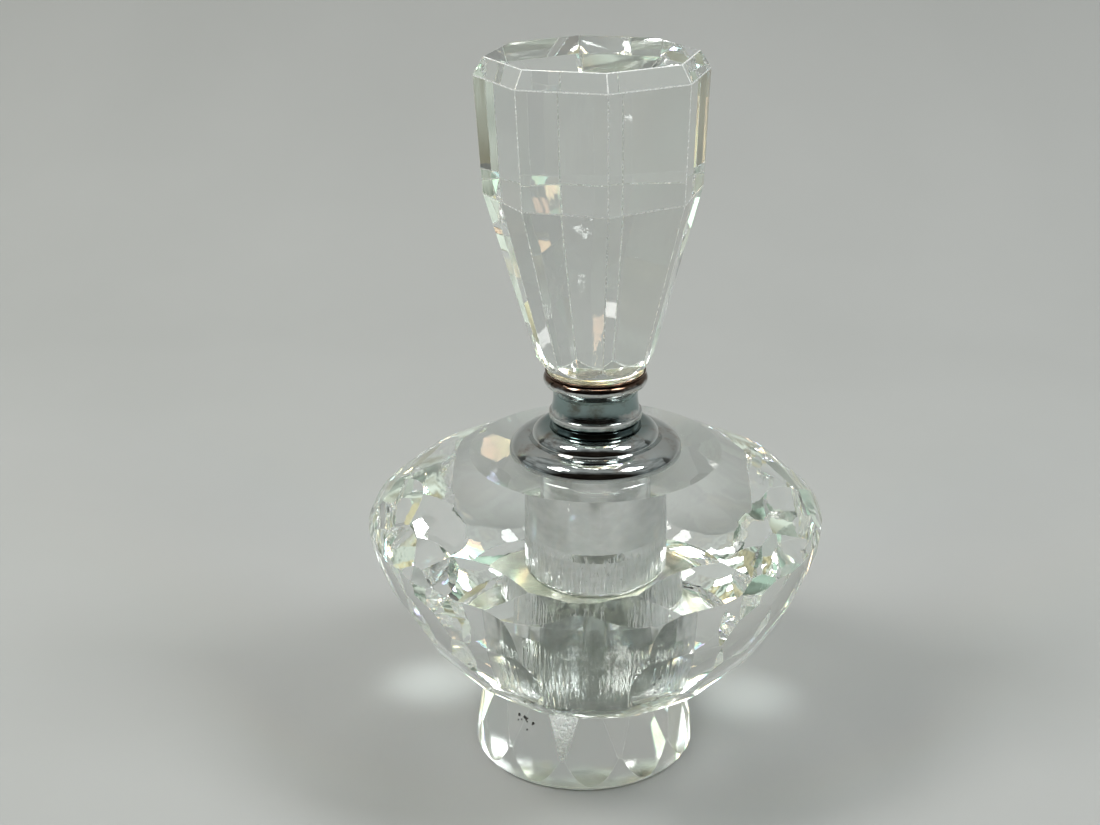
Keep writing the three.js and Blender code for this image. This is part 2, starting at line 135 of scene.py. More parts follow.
def turned(outline, segments):
    """Turns an outline of (radius, height) points about Z. It runs anticlockwise, and closes on the axis
    if it starts and ends there, or on itself."""
    bm = bmesh.new()
    rings = []
    for radius, height in outline:
        if radius < 1e-6:
            rings.append([bm.verts.new((0, 0, height))])
            continue
        ring = []
        for i in range(segments):
            angle = 2 * math.pi * i / segments
            ring.append(bm.verts.new((radius * math.cos(angle), radius * math.sin(angle), height)))
        rings.append(ring)
    pairs = list(zip(rings, rings[1:]))
    if outline[0][0] > 1e-6:
        pairs.append((rings[-1], rings[0]))
    for lower, upper in pairs:
        for i in range(segments):
            j = (i + 1) % segments
            below = [lower[i % len(lower)], lower[j % len(lower)]]
            above = [upper[j % len(upper)], upper[i % len(upper)]]
            face = bm.faces.new(list(dict.fromkeys(below + above)))
            face.smooth = True
    bm.normal_update()
    return bm


def facet_normal(azimuth, tilt):
    """Outward normal at an azimuth, tilted up by tilt degrees."""
    turn, up = math.radians(azimuth), math.radians(tilt)
    return Vector((math.sin(turn) * math.cos(up), -math.cos(turn) * math.cos(up), math.sin(up)))


def grind(bm, azimuth, radius, height, tilt):
    """Grinds one flat facet through (radius, height) at that azimuth, tilted up by tilt degrees."""
    point = facet_normal(azimuth, 0) * radius + Vector((0, 0, height))
    normal = facet_normal(azimuth, tilt)
    everything = bm.verts[:] + bm.edges[:] + bm.faces[:]
    cut = bmesh.ops.bisect_plane(
        bm, geom=everything, dist=1e-4, plane_co=point, plane_no=normal, clear_outer=True
    )["geom_cut"]
    rim = [item for item in cut if isinstance(item, bmesh.types.BMEdge) and item.is_boundary]
    for face in bmesh.ops.holes_fill(bm, edges=rim, sides=0)["faces"]:
        face.smooth = False


def ease_edges(bm, width, smallest_angle, material, candidates=None):
    """Narrow bevels along the edges between facets, with the material slot of that number."""
    bmesh.ops.recalc_face_normals(bm, faces=bm.faces[:])
    limit = math.radians(smallest_angle)
    edges = [edge for edge in candidates or bm.edges if edge.calc_face_angle(0) > limit]
    bmesh.ops.bevel(
        bm, geom=edges, offset=width, offset_type="OFFSET", segments=1, profile=0.5, affect="EDGES",
        clamp_overlap=True, material=material,
    )


def add_to_scene(name, data):
    """An object with this data, in the scene."""
    thing = bpy.data.objects.new(name, data)
    bpy.context.scene.collection.objects.link(thing)
    return thing


def finish_mesh(bm, name, sharp_angle=CRYSTAL_SHARP, matrix=None):
    """Marks the sharp edges and makes the object, in metres."""
    bmesh.ops.recalc_face_normals(bm, faces=bm.faces[:])
    limit = math.radians(sharp_angle)
    for edge in bm.edges:
        edge.smooth = len(edge.link_faces) == 2 and edge.calc_face_angle(0) < limit
    bm.transform(matrix or Matrix.Identity(4))
    bm.transform(Matrix.Scale(MM, 4))
    mesh = bpy.data.meshes.new(name)
    bm.to_mesh(mesh)
    bm.free()
    return add_to_scene(name, mesh)


def both_sides(first, last, step):
    """Azimuths from first to last on the right, and the same on the left."""
    count = int((last - first) / step + 1.5)
    right = [first + step * i for i in range(count)]
    return right + [-azimuth for azimuth in right]


def all_around(count, start):
    """Evenly spaced azimuths round the whole circle."""
    return [start + 360 * i / count for i in range(count)]


# ---- Materials -----------------------------------------------------------------------------------------

CRYSTAL_IOR = 1.54

def colour_ramp(tree, source, stops):
    """A colour ramp with (position, colour) stops."""
    made = tree.nodes.new("ShaderNodeValToRGB")
    elements = made.color_ramp.elements
    while len(elements) < len(stops):
        elements.new(0.5)
    for element, (position, colour) in zip(elements, stops):
        element.position = position
        element.color = (*colour, 1)
    tree.links.new(source, made.inputs["Fac"])
    return made.outputs["Color"]


def times(tree, first, second):
    """Two colours multiplied."""
    made = tree.nodes.new("ShaderNodeMix")
    made.data_type, made.blend_type = "RGBA", "MULTIPLY"
    made.inputs["Factor"].default_value = 1
    tree.links.new(first, made.inputs["A"])
    tree.links.new(second, made.inputs["B"])
    return made.outputs["Result"]


class Finish:
    """A material with one Principled shader and object coordinates to drive its patterns."""

    def __init__(self, name, **sockets):
        self.material = bpy.data.materials.new(name)
        self.material.use_nodes = True
        self.tree = self.material.node_tree
        self.shader = self.tree.nodes["Principled BSDF"]
        self.place = self.node("ShaderNodeTexCoord").outputs["Object"]
        for label, value in sockets.items():
            self.shader.inputs[label.replace("_", " ")].default_value = value

    def node(self, kind, **settings):
        made = self.tree.nodes.new(kind)
        for key, value in settings.items():
            setattr(made, key, value)
        return made

    def link(self, source, target):
        self.tree.links.new(source, target)

    def stretched(self, scale):
        """Object coordinates stretched along each axis."""
        mapping = self.node("ShaderNodeMapping")
        mapping.inputs["Scale"].default_value = scale
        self.link(self.place, mapping.inputs["Vector"])
        return mapping.outputs["Vector"]

    def noise(self, scale, detail=3.0, roughness=0.5, vector=None):
        made = self.node("ShaderNodeTexNoise")
        made.inputs["Scale"].default_value = scale
        made.inputs["Detail"].default_value = detail
        made.inputs["Roughness"].default_value = roughness
        self.link(vector or self.place, made.inputs["Vector"])
        return made.outputs["Fac"]

    def colours(self, source, stops):
        """The base colour, from a pattern and (position, colour) stops."""
        self.link(colour_ramp(self.tree, source, stops), self.shader.inputs["Base Color"])

    def roughness(self, source, low_value, high_value, from_low=0.35, from_high=0.65):
        spread = self.spread(source, low_value, high_value, from_low, from_high)
        self.link(spread, self.shader.inputs["Roughness"])

    def spread(self, source, low_value, high_value, from_low=0.35, from_high=0.65):
        """A pattern mapped to a range of numbers."""
        made = self.node("ShaderNodeMapRange")
        made.inputs["From Min"].default_value = from_low
        made.inputs["From Max"].default_value = from_high
        made.inputs["To Min"].default_value = low_value
        made.inputs["To Max"].default_value = high_value
        self.link(source, made.inputs["Value"])
        return made.outputs["Result"]

    def height(self):
        """Height above the floor, in metres."""
        axes = self.node("ShaderNodeSeparateXYZ")
        self.link(self.place, axes.inputs[0])
        return axes.outputs["Z"]

    def bump(self, source, distance, under=None):
        """Relief of this depth in metres, on top of the relief under it."""
        made = self.node("ShaderNodeBump")
        made.inputs["Strength"].default_value = 1
        made.inputs["Distance"].default_value = distance
        self.link(source, made.inputs["Height"])
        if under:
            self.link(under, made.inputs["Normal"])
        self.link(made.outputs["Normal"], self.shader.inputs["Normal"])
        return made.outputs["Normal"]


def polished_crystal():
    """Clear lead crystal: polished facets with faint wheel marks and smears."""
    finish = Finish("polished_crystal", Transmission_Weight=1.0, IOR=CRYSTAL_IOR)
    finish.colours(finish.noise(60, 2), [(0.35, (0.95, 0.985, 0.965)), (0.65, (0.985, 0.995, 0.985))])
    finish.roughness(finish.noise(180, 4, 0.6), 0.0, 0.03, 0.5, 0.75)
    wheel_marks = finish.noise(900, 2, 0.5, finish.stretched((1, 1, 0.15)))
    finish.bump(wheel_marks, 0.000004)
    return finish.material


def ground_crystal_painted_shade():
    """The drilled cavity's wall: satin, with painted grey shade and upright drill scores that deepen near
    its floor.
    """
    finish = Finish("ground_crystal_painted_shade", Transmission_Weight=0.75, IOR=CRYSTAL_IOR, Specular_IOR_Level=0.0)
    grain = finish.noise(500, 3)
    # The grey base colour is painted shade, standing in for the dark front of the room that the wall
    # mirrors.
    finish.colours(grain, [(0.3, (0.28, 0.30, 0.29)), (0.7, (0.42, 0.44, 0.425))])
    finish.roughness(grain, 0.02, 0.06)
    fine = finish.bump(finish.noise(700, 2, 0.5, finish.stretched((1, 1, 0.05))), 0.00003)
    near_floor = finish.spread(finish.height(), 1, 0, SCORED_TO * MM, (SCORED_TO + SCORES_FADE) * MM)
    dashes = finish.noise(1400, 3, 0.6, finish.stretched((1, 1, 0.12)))
    masked = finish.node("ShaderNodeMath", operation="MULTIPLY")
    finish.link(dashes, masked.inputs[0])
    finish.link(near_floor, masked.inputs[1])
    finish.bump(masked.outputs["Value"], 0.0004, under=fine)
    return finish.material


def drilled_floor():
    """The cavity's floor, with the drill's rings."""
    finish = Finish("drilled_floor", Transmission_Weight=1.0, IOR=CRYSTAL_IOR)
    grain = finish.noise(700, 3)
    finish.colours(grain, [(0.3, (0.92, 0.95, 0.94)), (0.7, (0.99, 0.99, 0.99))])
    finish.roughness(grain, 0.03, 0.12)
    rings = finish.node("ShaderNodeTexWave", wave_type="RINGS", rings_direction="Z")
    rings.inputs["Scale"].default_value = 260
    rings.inputs["Distortion"].default_value = 1.2
    finish.link(finish.place, rings.inputs["Vector"])
    finish.bump(rings.outputs["Fac"], 0.00025)
    return finish.material


def dark_residue():
    """Dried dark specks."""
    finish = Finish("dark_residue", IOR=1.45)
    grain = finish.noise(2500, 3)
    finish.colours(grain, [(0.35, (0.008, 0.006, 0.005)), (0.7, (0.05, 0.035, 0.025))])
    finish.roughness(grain, 0.5, 0.8)
    return finish.material


def worn_crystal(name, roughest, grain_depth, clear=1.0):
    """Crystal with a ground or bruised skin: rough, whitish and glittering."""
    finish = Finish(name, Transmission_Weight=clear, IOR=CRYSTAL_IOR)
    grain = finish.noise(1300, 4, 0.7)
    finish.colours(grain, [(0.35, (0.93, 0.95, 0.94)), (0.65, (1.0, 1.0, 1.0))])
    finish.roughness(grain, 0.25 * roughest, roughest)
    finish.bump(grain, grain_depth)
    return finish.material


def chrome_plate(name, stain_and_shade_bands):
    """Bright plating with fine polishing lines and dull warm patches. The bands list (height, tint), with
    the heights in millimetres; their tints paint shade and real stains into the plating."""
    finish = Finish(name, Metallic=1.0)
    patches = finish.noise(260, 4, 0.65)
    dull, bright, brightest = (0.36, 0.31, 0.27), (0.60, 0.61, 0.60), (0.66, 0.70, 0.70)
    plating = colour_ramp(finish.tree, patches, [(0.3, dull), (0.45, bright), (0.7, brightest)])
    lowest, highest = stain_and_shade_bands[0][0], stain_and_shade_bands[-1][0]
    height = finish.spread(finish.height(), 0, 1, lowest * MM, highest * MM)
    uneven = finish.spread(finish.noise(520, 4, 0.7), -0.05, 0.05)
    ragged = finish.node("ShaderNodeMath", operation="ADD")
    finish.link(height, ragged.inputs[0])
    finish.link(uneven, ragged.inputs[1])
    stops = [((level - lowest) / (highest - lowest), colour) for level, colour in stain_and_shade_bands]
    # Teal bands are painted shade; the brown band is a real stain.
    tint = colour_ramp(finish.tree, ragged.outputs["Value"], stops)
    finish.link(times(finish.tree, plating, tint), finish.shader.inputs["Base Color"])
    finish.roughness(patches, 0.12, 0.03)
    dents = finish.bump(finish.noise(230, 3), 0.00006)
    lines = finish.noise(1500, 2, 0.5, finish.stretched((0.2, 0.2, 3)))
    finish.bump(lines, 0.000006, under=dents)
    return finish.material


def clear_cement(name, light, dark):
    """Hardened clear cement with small bubbles."""
    finish = Finish(name, Transmission_Weight=1.0, IOR=1.52)
    cloud = finish.noise(400, 4)
    finish.colours(cloud, [(0.3, dark), (0.7, light)])
    finish.roughness(cloud, 0.02, 0.25)
    finish.bump(cloud, 0.00003)
    return finish.material


def moulded_plastic(name, light, dark, clear=0.0):
    """Moulded plastic with a faint mottle."""
    finish = Finish(name, Subsurface_Weight=0.25, Subsurface_Scale=0.002, IOR=1.49)
    finish.shader.inputs["Transmission Weight"].default_value = clear
    mottle = finish.noise(500, 3)
    finish.colours(mottle, [(0.3, dark), (0.7, light)])
    finish.roughness(mottle, 0.2, 0.4)
    finish.bump(finish.noise(2500, 2), 0.00001)
    return finish.material


def soft_rubber():
    """Pale, matt seal material with a fine grain."""
    finish = Finish("soft_rubber", IOR=1.45)
    grain = finish.noise(3000, 3)
    finish.colours(grain, [(0.3, (0.55, 0.54, 0.5)), (0.7, (0.68, 0.67, 0.63))])
    finish.roughness(grain, 0.6, 0.8)
    finish.bump(grain, 0.00002)
    return finish.material


def pale_floor():
    """Matt studio paper with a faint cloudiness."""
    finish = Finish("pale_floor", Roughness=0.85)
    finish.colours(finish.noise(14, 3), [(0.3, (0.32, 0.324, 0.318)), (0.7, (0.335, 0.338, 0.333))])
    return finish.material


CRYSTAL = polished_crystal()
GROUND = ground_crystal_painted_shade()
DRILLED = drilled_floor()
RESIDUE = dark_residue()
EDGE = worn_crystal("worn_edge", 0.4, 0.00002, 0.5)
SCUFFED = worn_crystal("scuffed_underside", 0.06, 0.00001)
BRUISE = worn_crystal("bruised_notch", 0.5, 0.0004, 0.55)
# Teal tints are painted shade in and beside the gap under the cap's skirt, and a painted reflection of the
# dark room on the cap's drawn-in waist. Brown is a real stain of old cement on the bead.
BRIGHT, SHADE_TEAL, DEEP_SHADE_TEAL, BROWN = (1, 1, 1), (0.40, 0.50, 0.50), (0.20, 0.27, 0.27), (0.24, 0.15, 0.11)
COLLAR_CHROME = chrome_plate("collar_chrome", [
    (COLLAR_TOP - 1.5, BRIGHT), (COLLAR_TOP - 0.7, SHADE_TEAL), (COLLAR_TOP - 0.3, DEEP_SHADE_TEAL),
    (COLLAR_TOP, DEEP_SHADE_TEAL),
])
CAP_CHROME = chrome_plate("cap_chrome", [
    (CAP_BOTTOM, SHADE_TEAL), (CAP_BOTTOM + 0.7, BRIGHT), (CAP_BOTTOM + 1.5, BRIGHT), (CAP_BOTTOM + 2.2, SHADE_TEAL),
    (CAP_BOTTOM + 5.0, SHADE_TEAL), (CAP_BOTTOM + 5.8, BRIGHT), (CAP_TOP - 1.5, BRIGHT), (CAP_TOP - 1.0, BROWN),
    (CAP_TOP, BROWN),
])
CEMENT = clear_cement("clear_cement", (0.98, 0.975, 0.93), (0.93, 0.91, 0.82))
AGED_CEMENT = clear_cement("aged_cement", (0.80, 0.75, 0.62), (0.45, 0.37, 0.26))
NECK_PLASTIC = moulded_plastic("neck_plastic", (0.36, 0.38, 0.37), (0.26, 0.28, 0.27), 0.75)
CAP_PLASTIC = moulded_plastic("cap_plastic", (0.86, 0.86, 0.84), (0.78, 0.78, 0.76))
RUBBER = soft_rubber()


# ---- Body ----------------------------------------------------------------------------------------------

def body_facets():
    """(azimuth, radius, height, tilt) of each facet. The front and back windows have the girdle band
    only."""
    rows = [
        (all_around(12, 15), 36.9, 44.6, 22),
        ([45, -45, 135, -135], 32.9, 47.9, 52),
        ([75, -75, 105, -105], 28.6, 50.1, 55),
        (both_sides(30, 150, 30), 34.6, 46.2, 42),
        (both_sides(37.5, 142.5, 15), 36.8, 44.9, 27),
        (both_sides(30, 150, 15), 37.7, 42.6, 3),
        (both_sides(37.5, 142.5, 15), 37.0, 39.4, -10),
        (both_sides(30, 150, 30), 35.6, 36.0, -17),
        (both_sides(45, 135, 30), 34.2, 32.6, -23),
        (both_sides(30, 150, 30), 32.2, 29.0, -29),
        (both_sides(45, 135, 30), 29.0, 24.2, -37),
        (both_sides(30, 150, 30), 24.4, 18.9, -47),
    ]
    return [(azimuth, *rest) for azimuths, *rest in rows for azimuth in azimuths]


def make_body():
    belly = bezier((BODY_BOTTOM_RADIUS, BODY_BOTTOM), BELLY_PULL, (GIRDLE_RADIUS, GIRDLE_BOTTOM), 48)
    rounding_centre = (CAVITY_RADIUS - CAVITY_ROUNDING, CAVITY_FLOOR + CAVITY_ROUNDING)
    outline = [
        (0, BODY_BOTTOM),
        *belly,
        (GIRDLE_RADIUS, GIRDLE_TOP),
        (CROWN_RADIUS, CROWN_HEIGHT),
        (TABLE_RADIUS, TABLE_HEIGHT),
        (CAVITY_RADIUS, TABLE_HEIGHT),
        *arc(rounding_centre, CAVITY_ROUNDING, 0, -90, 12),
        (0, CAVITY_FLOOR),
    ]
    bm = turned(outline, BODY_SEGMENTS)
    for facet in body_facets():
        grind(bm, *facet)
    materials = (CRYSTAL, GROUND, DRILLED, EDGE)
    hair = 0.01
    for face in bm.faces:
        centre = face.calc_center_median()
        inside = math.hypot(centre.x, centre.y) < CAVITY_RADIUS + hair
        if inside and centre.z > CAVITY_FLOOR - hair:
            skin = GROUND if centre.z > CAVITY_FLOOR + CAVITY_ROUNDING else DRILLED
            face.material_index = materials.index(skin)
    outside = []
    for edge in bm.edges:
        if max(math.hypot(*vert.co.xy) for vert in edge.verts) > CAVITY_RADIUS + 1:
            outside.append(edge)
    ease_edges(bm, *BODY_EDGES, materials.index(EDGE), outside)
    body = finish_mesh(bm, "body_crystal")
    for material in materials:
        body.data.materials.append(material)
    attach(body, "bottle")
    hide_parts("crystal_body")


# ---- Foot ----------------------------------------------------------------------------------------------

def make_foot():
    outline = [
        (0, 0),
        (FOOT_BASE_RADIUS - FOOT_ROUNDING, 0),
        (FOOT_BASE_RADIUS, FOOT_ROUNDING),
        (FOOT_BASE_RADIUS, FOOT_EDGE),
        (FOOT_TOP_RADIUS, FOOT_TOP),
        (0, FOOT_TOP),
    ]
    bm = turned(outline, FOOT_SEGMENTS)
    step = 360 / FOOT_FACETS
    facet_top = FOOT_BASE_RADIUS - (FOOT_CAD_TOP - FOOT_EDGE) * math.tan(math.radians(FOOT_FACET_TILT))
    notch = facet_top / math.cos(math.radians(step / 2)) - FOOT_NOTCH_DEPTH
    for azimuth in all_around(FOOT_FACETS, FOOT_TURN):
        grind(bm, azimuth, FOOT_BASE_RADIUS, FOOT_EDGE, FOOT_FACET_TILT)
        grind(bm, azimuth + step / 2, notch, FOOT_CAD_TOP, FOOT_NOTCH_TILT)
    bmesh.ops.recalc_face_normals(bm, faces=bm.faces[:])
    materials = (CRYSTAL, EDGE, SCUFFED, BRUISE)
    bruised_notch = facet_normal(FOOT_TURN - step / 2, FOOT_NOTCH_TILT)
    for face in bm.faces:
        if face.normal.z < -0.9:
            face.material_index = materials.index(SCUFFED)
        elif face.normal.angle(bruised_notch) < math.radians(1):
            face.material_index = materials.index(BRUISE)
    ease_edges(bm, *FOOT_EDGES, materials.index(EDGE))
    foot = finish_mesh(bm, "foot_crystal", matrix=Matrix.Translation((FOOT_CENTRE, 0, 0)))
    for material in materials:
        foot.data.materials.append(material)
    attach(foot, "bottle")
    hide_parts("crystal_foot")

    outline = [
        (0, FOOT_TOP - BOND_OVERLAP),
        (FOOT_FILM_RADIUS, FOOT_TOP - BOND_OVERLAP),
        (FOOT_FILM_TOP_RADIUS, BODY_BOTTOM + BOND_OVERLAP),
        (0, BODY_BOTTOM + BOND_OVERLAP),
    ]
    film = finish_mesh(turned(outline, FOOT_SEGMENTS), "foot_cement")
    film.data.materials.append(CEMENT)
    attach(film, "bottle")
    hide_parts("foot_glue")


# ---- Collar and cap ------------------------------------------------------------------------------------

def make_collar():
    """Two domed tiers and a small top ring, hollow underneath."""
    seat = TABLE_HEIGHT
    outline = [
        (COLLAR_HOLLOW, seat),
        (13.7, seat),
        *ellipse_arc((10.7, seat + 0.45), (3.5, 2.35), -8, 84, 26),
        (10.75, seat + 2.62),
        (10.55, seat + 2.55),
        *ellipse_arc((7.4, seat + 2.75), (3.1, 2.15), 2, 84, 22),
        (7.45, seat + 4.8),
        *arc((7.0, COLLAR_TOP - 0.25), 0.25, 0, 90, 6),
        (COLLAR_HOLE, COLLAR_TOP),
        (COLLAR_HOLE, seat + COLLAR_CEILING),
        (COLLAR_HOLLOW, seat + COLLAR_CEILING),
    ]
    collar = finish_mesh(turned(outline, METAL_SEGMENTS), "collar_plated", METAL_SHARP)
    collar.data.materials.append(COLLAR_CHROME)
    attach(collar, "bottle")
    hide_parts("neck_collar")


def make_cap():
    """From the bottom: a rolled rim, a drawn-in waist, a round bead, and the cup that holds the stopper."""
    base = CAP_BOTTOM
    outline = [
        (0, CAP_TOP - CUP_FLOOR),
        (CAP_BORE, CAP_TOP - CUP_FLOOR),
        (CAP_BORE, base),
        *arc((7.35, base + 0.25), 0.25, -90, 0, 6),
        (7.6, base + 1.0),
        *arc((7.4, base + 1.05), 0.2, 0, 80, 6),
        *bezier((7.25, base + 1.35), (6.55, base + 4.4), (7.35, base + 5.6), 20),
        *arc((7.45, base + 6.75), 1.05, -75, 78, 18),
        (7.9, base + 7.85),
        *arc((8.0, base + 8.1), 0.2, -30, 90, 6),
        (CUP_RADIUS, CAP_TOP),
        (CUP_RADIUS, CAP_TOP - CUP_DEPTH),
        (0, CAP_TOP - CUP_DEPTH),
    ]
    cap = finish_mesh(turned(outline, METAL_SEGMENTS), "cap_plated", METAL_SHARP)
    cap.data.materials.append(CAP_CHROME)
    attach(cap, "stopper")
    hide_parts("screw_cap")


# ---- Stopper -------------------------------------------------------------------------------------------

def make_stopper():
    half_side = math.radians(180 / STOPPER_SIDES)
    flat = math.cos(half_side)  # radius to a side's middle, as a share of the radius to a corner
    height = STOPPER_TOP[1]
    blank = [
        (0, 0),
        (STOPPER_TURNED_RADIUS, 0),
        (STOPPER_TURNED_RADIUS + STOPPER_FLARE * height, height),
        (0, height),
    ]
    bm = turned(blank, METAL_SEGMENTS)
    levels = [(STOPPER_BOTTOM_RADIUS, 0), STOPPER_SHOULDER, STOPPER_RIM, STOPPER_TOP]
    for azimuth in all_around(STOPPER_SIDES, STOPPER_TURN + 180 / STOPPER_SIDES):
        for (radius, level), (next_radius, next_level) in zip(levels, levels[1:]):
            tilt = math.degrees(math.atan2((radius - next_radius) * flat, next_level - level))
            grind(bm, azimuth, radius * flat, level, tilt)
    materials = (CRYSTAL, EDGE)
    ease_edges(bm, *STOPPER_EDGES, materials.index(EDGE))
    lean = Matrix.Rotation(math.radians(-STOPPER_LEAN), 4, "Y")
    stopper = finish_mesh(bm, "stopper_crystal", matrix=Matrix.Translation((0, 0, STOPPER_BOTTOM)) @ lean)
    for material in materials:
        stopper.data.materials.append(material)
    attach(stopper, "stopper")
    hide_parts("crystal_stopper")

    outline = [
        (0, CAP_TOP - 0.45),
        (7.5, CAP_TOP - 0.45),
        (7.5, CAP_TOP + 0.02),
        (7.95, CAP_TOP + 0.02),
        *arc((7.7, CAP_TOP + 0.4), 0.3, -50, 75, 6),
        (7.6, STOPPER_BOTTOM + 0.1),
        (0, STOPPER_BOTTOM + 0.22),
    ]
    cement = finish_mesh(turned(outline, METAL_SEGMENTS), "stopper_cement")
    cement.data.materials.append(AGED_CEMENT)
    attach(cement, "stopper")
    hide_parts("stopper_glue")


def make_specks(name, azimuth, radius, height, spread, count, axis_x=0.0):
    """A scatter of small dark flakes round a point, with a spread sideways and upwards."""
    chance = random.Random(name)
    turn = math.radians(azimuth)
    middle = Vector((axis_x + radius * math.sin(turn), -radius * math.cos(turn), height))
    along = Vector((math.cos(turn), math.sin(turn), 0))
    bm = bmesh.new()
    for _ in range(count):
        place = middle + along * chance.gauss(0, spread[0]) + Vector((0, 0, chance.gauss(0, spread[1])))
        size = chance.uniform(0.1, 0.32)
        where = Matrix.Translation(place)
        flake = bmesh.ops.create_icosphere(bm, subdivisions=2, radius=size, matrix=where)
        for vert in flake["verts"]:
            vert.co += (vert.co - place) * chance.uniform(-0.35, 0.35)
            vert.co.z = place.z + (vert.co.z - place.z) * 1.2
    specks = finish_mesh(bm, name, SPECK_SHARP)
    specks.data.materials.append(RESIDUE)
    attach(specks, "bottle")


def finish_cad_nodes():
    """The hidden and inner pieces keep their CAD shapes."""
    finishes = {
        "bore_glue": CEMENT,
        "neck_insert": NECK_PLASTIC,
        "neck_gasket": RUBBER,
        "seal_washer": RUBBER,
        "cap_liner": CAP_PLASTIC,
        "dauber_plug": CAP_PLASTIC,
        "dauber_rod": CRYSTAL,
    }
    for name, material in finishes.items():
        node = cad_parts[name]
        node.data.materials.clear()
        node.data.materials.append(material)


# ---- Stage ---------------------------------------------------------------------------------------------

def make_stage():
    """A pale sweep: floor, curve and back wall in one sheet."""
    half_width, front, bend, rise, radius = 1.2, -0.9, 0.2, 0.55, 0.16
    air = -0.15 * MM  # under the foot, so that its underside reflects as glass does
    line = [(front, air), (bend, air)]
    steps = 12
    for i in range(1, steps + 1):
        angle = math.radians(90 / steps * i)
        line.append((bend + radius * math.sin(angle), air + radius - radius * math.cos(angle)))
    line.append((bend + radius, rise))
    bm = bmesh.new()
    rows = [[bm.verts.new((x, y, z)) for x in (-half_width, half_width)] for y, z in line]
    for near, far in zip(rows, rows[1:]):
        bm.faces.new((near[0], near[1], far[1], far[0])).smooth = True
    mesh = bpy.data.meshes.new("sweep")
    bm.to_mesh(mesh)
    bm.free()
    mesh.materials.append(pale_floor())
    sweep = add_to_scene("sweep", mesh)


def hang(name, light, place, target):
    """Puts a light at a place, aimed at a target and unseen by the camera itself."""
    lamp = add_to_scene(name, light)
    lamp.location = place
    lamp.rotation_euler = (Vector(target) - Vector(place)).to_track_quat("-Z", "Y").to_euler()
    lamp.visible_camera = False
    return lamp


def softbox(name, place, size, power, colour=(1, 1, 1), seen_in_chrome=True):
    """A rectangular light aimed at the middle of the bottle."""
    light = bpy.data.lights.new(name, "AREA")
    light.shape = "RECTANGLE"
    light.size, light.size_y = size
    light.energy = power
    light.color = colour
    hang(name, light, place, (0, 0, AIM_HEIGHT)).visible_glossy = seen_in_chrome


def pool(name, source, target, power):
    """A small spotlight for a pool of light that the cut glass throws beside the foot."""
    light = bpy.data.lights.new(name, "SPOT")
    light.energy = power
    light.color = (0.9, 1.0, 0.98)
    light.spot_size = math.radians(4.2)
    light.spot_blend = 1.0
    light.shadow_soft_size = 0.004
    lamp = hang(name, light, source, target)
    lamp.visible_glossy = False
    lamp.visible_transmission = False


def around(azimuth, elevation, distance):
    """A place round the middle of the bottle."""
    turn, up = math.radians(azimuth), math.radians(elevation)
    return (
        distance * math.cos(up) * math.sin(turn),
        -distance * math.cos(up) * math.cos(turn),
        AIM_HEIGHT + distance * math.sin(up),
    )


def make_lights():
    softbox("left_light", around(-69, 56, 0.75), (0.2, 0.24), 3.3, (1.0, 0.985, 0.96))
    softbox("right_light", around(75, 56, 0.75), (0.2, 0.24), 2.9, (0.97, 0.99, 1.0))
    softbox("back_light", around(172, 66, 0.8), (0.3, 0.12), 1.2)
    softbox("side_light", around(-100, 22, 0.8), (0.06, 0.4), 0.7, (0.95, 1.0, 0.98), seen_in_chrome=False)
    # Thin coloured strips beside the lights give the facets their spectral glints.
    peach, yellow, green, blue, violet = (
        (1.0, 0.66, 0.42), (1.0, 0.84, 0.45), (0.55, 1.0, 0.65), (0.4, 0.85, 1.0), (0.65, 0.55, 1.0)
    )
    for i, colour in enumerate((peach, yellow, green, blue, violet)):
        strips = {
            "left": (around(-40 - 3 * i, 46, 0.74), (0.03, 0.26), 0.2),
            "right": (around(44 + 3 * i, 44, 0.74), (0.03, 0.26), 0.2),
            "left_side": (around(-112 - 3 * i, 26, 0.8), (0.04, 0.3), 0.16),
            "right_side": (around(100 + 3 * i, 24, 0.8), (0.04, 0.3), 0.16),
        }
        for side, (place, size, power) in strips.items():
            softbox(f"{side}_fringe_{i}", place, size, power, colour, seen_in_chrome=False)
    pool("left_pool", (-0.16, 0.03, 0.24), (-0.031, 0.014, 0), 2.4)
    pool("right_pool", (0.155, 0.03, 0.24), (0.027, 0.012, 0), 1.8)


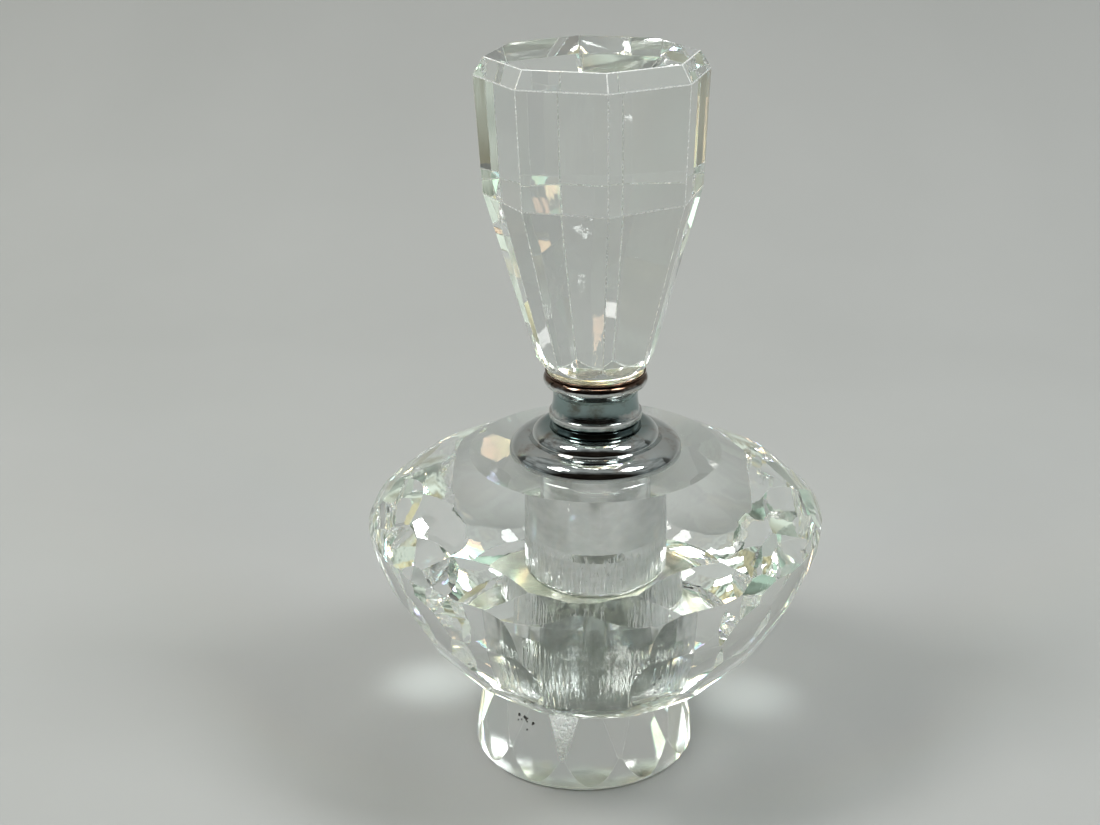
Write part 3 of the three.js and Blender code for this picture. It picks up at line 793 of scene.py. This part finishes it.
def make_room():
    """Soft room light, with one set of tones for what is seen through glass, one for what is mirrored, and
    one plain tone for the camera."""
    world = bpy.data.worlds.new("room")
    world.use_nodes = True
    tree = world.node_tree
    nodes, links = tree.nodes, tree.links
    direction = nodes.new("ShaderNodeTexCoord").outputs["Generated"]
    axes = nodes.new("ShaderNodeSeparateXYZ")
    links.new(direction, axes.inputs[0])

    def cloud(scale, stops):
        noise = nodes.new("ShaderNodeTexNoise")
        noise.inputs["Scale"].default_value = scale
        noise.inputs["Detail"].default_value = 2
        links.new(direction, noise.inputs["Vector"])
        return colour_ramp(tree, noise.outputs["Fac"], stops)

    # What the crystal bends into view: bright, mint, with warm and cool clouds.
    height = colour_ramp(tree, axes.outputs["Z"], [
        (0.0, (0.40, 0.44, 0.40)),
        (0.3, (0.56, 0.64, 0.57)),
        (0.8, (0.72, 0.82, 0.73)),
    ])
    tint = cloud(6, [
        (0.3, (1.0, 1.25, 1.12)),
        (0.42, (0.16, 0.18, 0.15)),
        (0.5, (1.3, 1.3, 1.25)),
        (0.58, (0.42, 0.36, 0.25)),
        (0.66, (1.3, 1.08, 0.74)),
        (0.76, (0.7, 1.1, 1.4)),
    ])
    through_glass = times(tree, height, tint)

    # What the chrome and the outer faces mirror: grey walls, and darkness at the front of the room.
    walls = colour_ramp(tree, axes.outputs["Z"], [
        (0.0, (0.17, 0.20, 0.20)),
        (0.3, (0.27, 0.29, 0.285)),
        (1.0, (0.38, 0.40, 0.39)),
    ])
    front = nodes.new("ShaderNodeMapRange")
    front.inputs["From Min"].default_value = -0.62
    front.inputs["From Max"].default_value = -0.3
    links.new(axes.outputs["Y"], front.inputs["Value"])
    shade = colour_ramp(tree, front.outputs["Result"], [(0.0, (0.05, 0.038, 0.03)), (1.0, (1, 1, 1))])
    streaks = cloud(4, [(0.35, (0.55, 0.55, 0.55)), (0.6, (1.25, 1.25, 1.25))])
    mirrored = times(tree, times(tree, walls, shade), streaks)

    light_path = nodes.new("ShaderNodeLightPath")
    choice = nodes.new("ShaderNodeMix")
    choice.data_type = "RGBA"
    links.new(light_path.outputs["Is Transmission Ray"], choice.inputs["Factor"])
    links.new(mirrored, choice.inputs["A"])
    links.new(through_glass, choice.inputs["B"])
    background = nodes["Background"]
    # The room itself, where the camera sees past the sweep, is plain and pale.
    seen = nodes.new("ShaderNodeMix")
    seen.data_type = "RGBA"
    links.new(light_path.outputs["Is Camera Ray"], seen.inputs["Factor"])
    links.new(choice.outputs["Result"], seen.inputs["A"])
    seen.inputs["B"].default_value = (0.34, 0.345, 0.34, 1)
    links.new(seen.outputs["Result"], background.inputs["Color"])
    background.inputs["Strength"].default_value = 1.0
    bpy.context.scene.world = world


def make_camera():
    """Looks down at the bottle from in front and a little to the right."""
    distance, height, pitch, swing = 0.251, 0.163, 22.2, math.radians(3)
    camera = bpy.data.cameras.new("camera")
    camera.sensor_width = 36
    camera.lens = 54.2
    camera.shift_x = -0.0414
    camera.clip_start = 0.01
    holder = add_to_scene("camera", camera)
    holder.location = (math.sin(swing) * distance, -math.cos(swing) * distance, height)
    holder.rotation_euler = (math.radians(90 - pitch), 0, swing)
    bpy.context.scene.camera = holder


make_body()
make_foot()
make_collar()
make_cap()
make_stopper()
make_specks(
    "foot_specks", azimuth=-36, radius=16.6, height=10.6, spread=(1.3, 0.7), count=9, axis_x=FOOT_CENTRE
)
make_specks("cavity_specks", azimuth=40, radius=8.7, height=25.8, spread=(0.7, 1.3), count=8)
finish_cad_nodes()
make_stage()
make_lights()
make_room()
make_camera()

bpy.context.scene.view_settings.view_transform = "Standard"
cycles = bpy.context.scene.cycles
cycles.max_bounces = LIGHT_BOUNCES
cycles.transmission_bounces = LIGHT_BOUNCES
cycles.glossy_bounces = LIGHT_BOUNCES
cycles.diffuse_bounces = 4
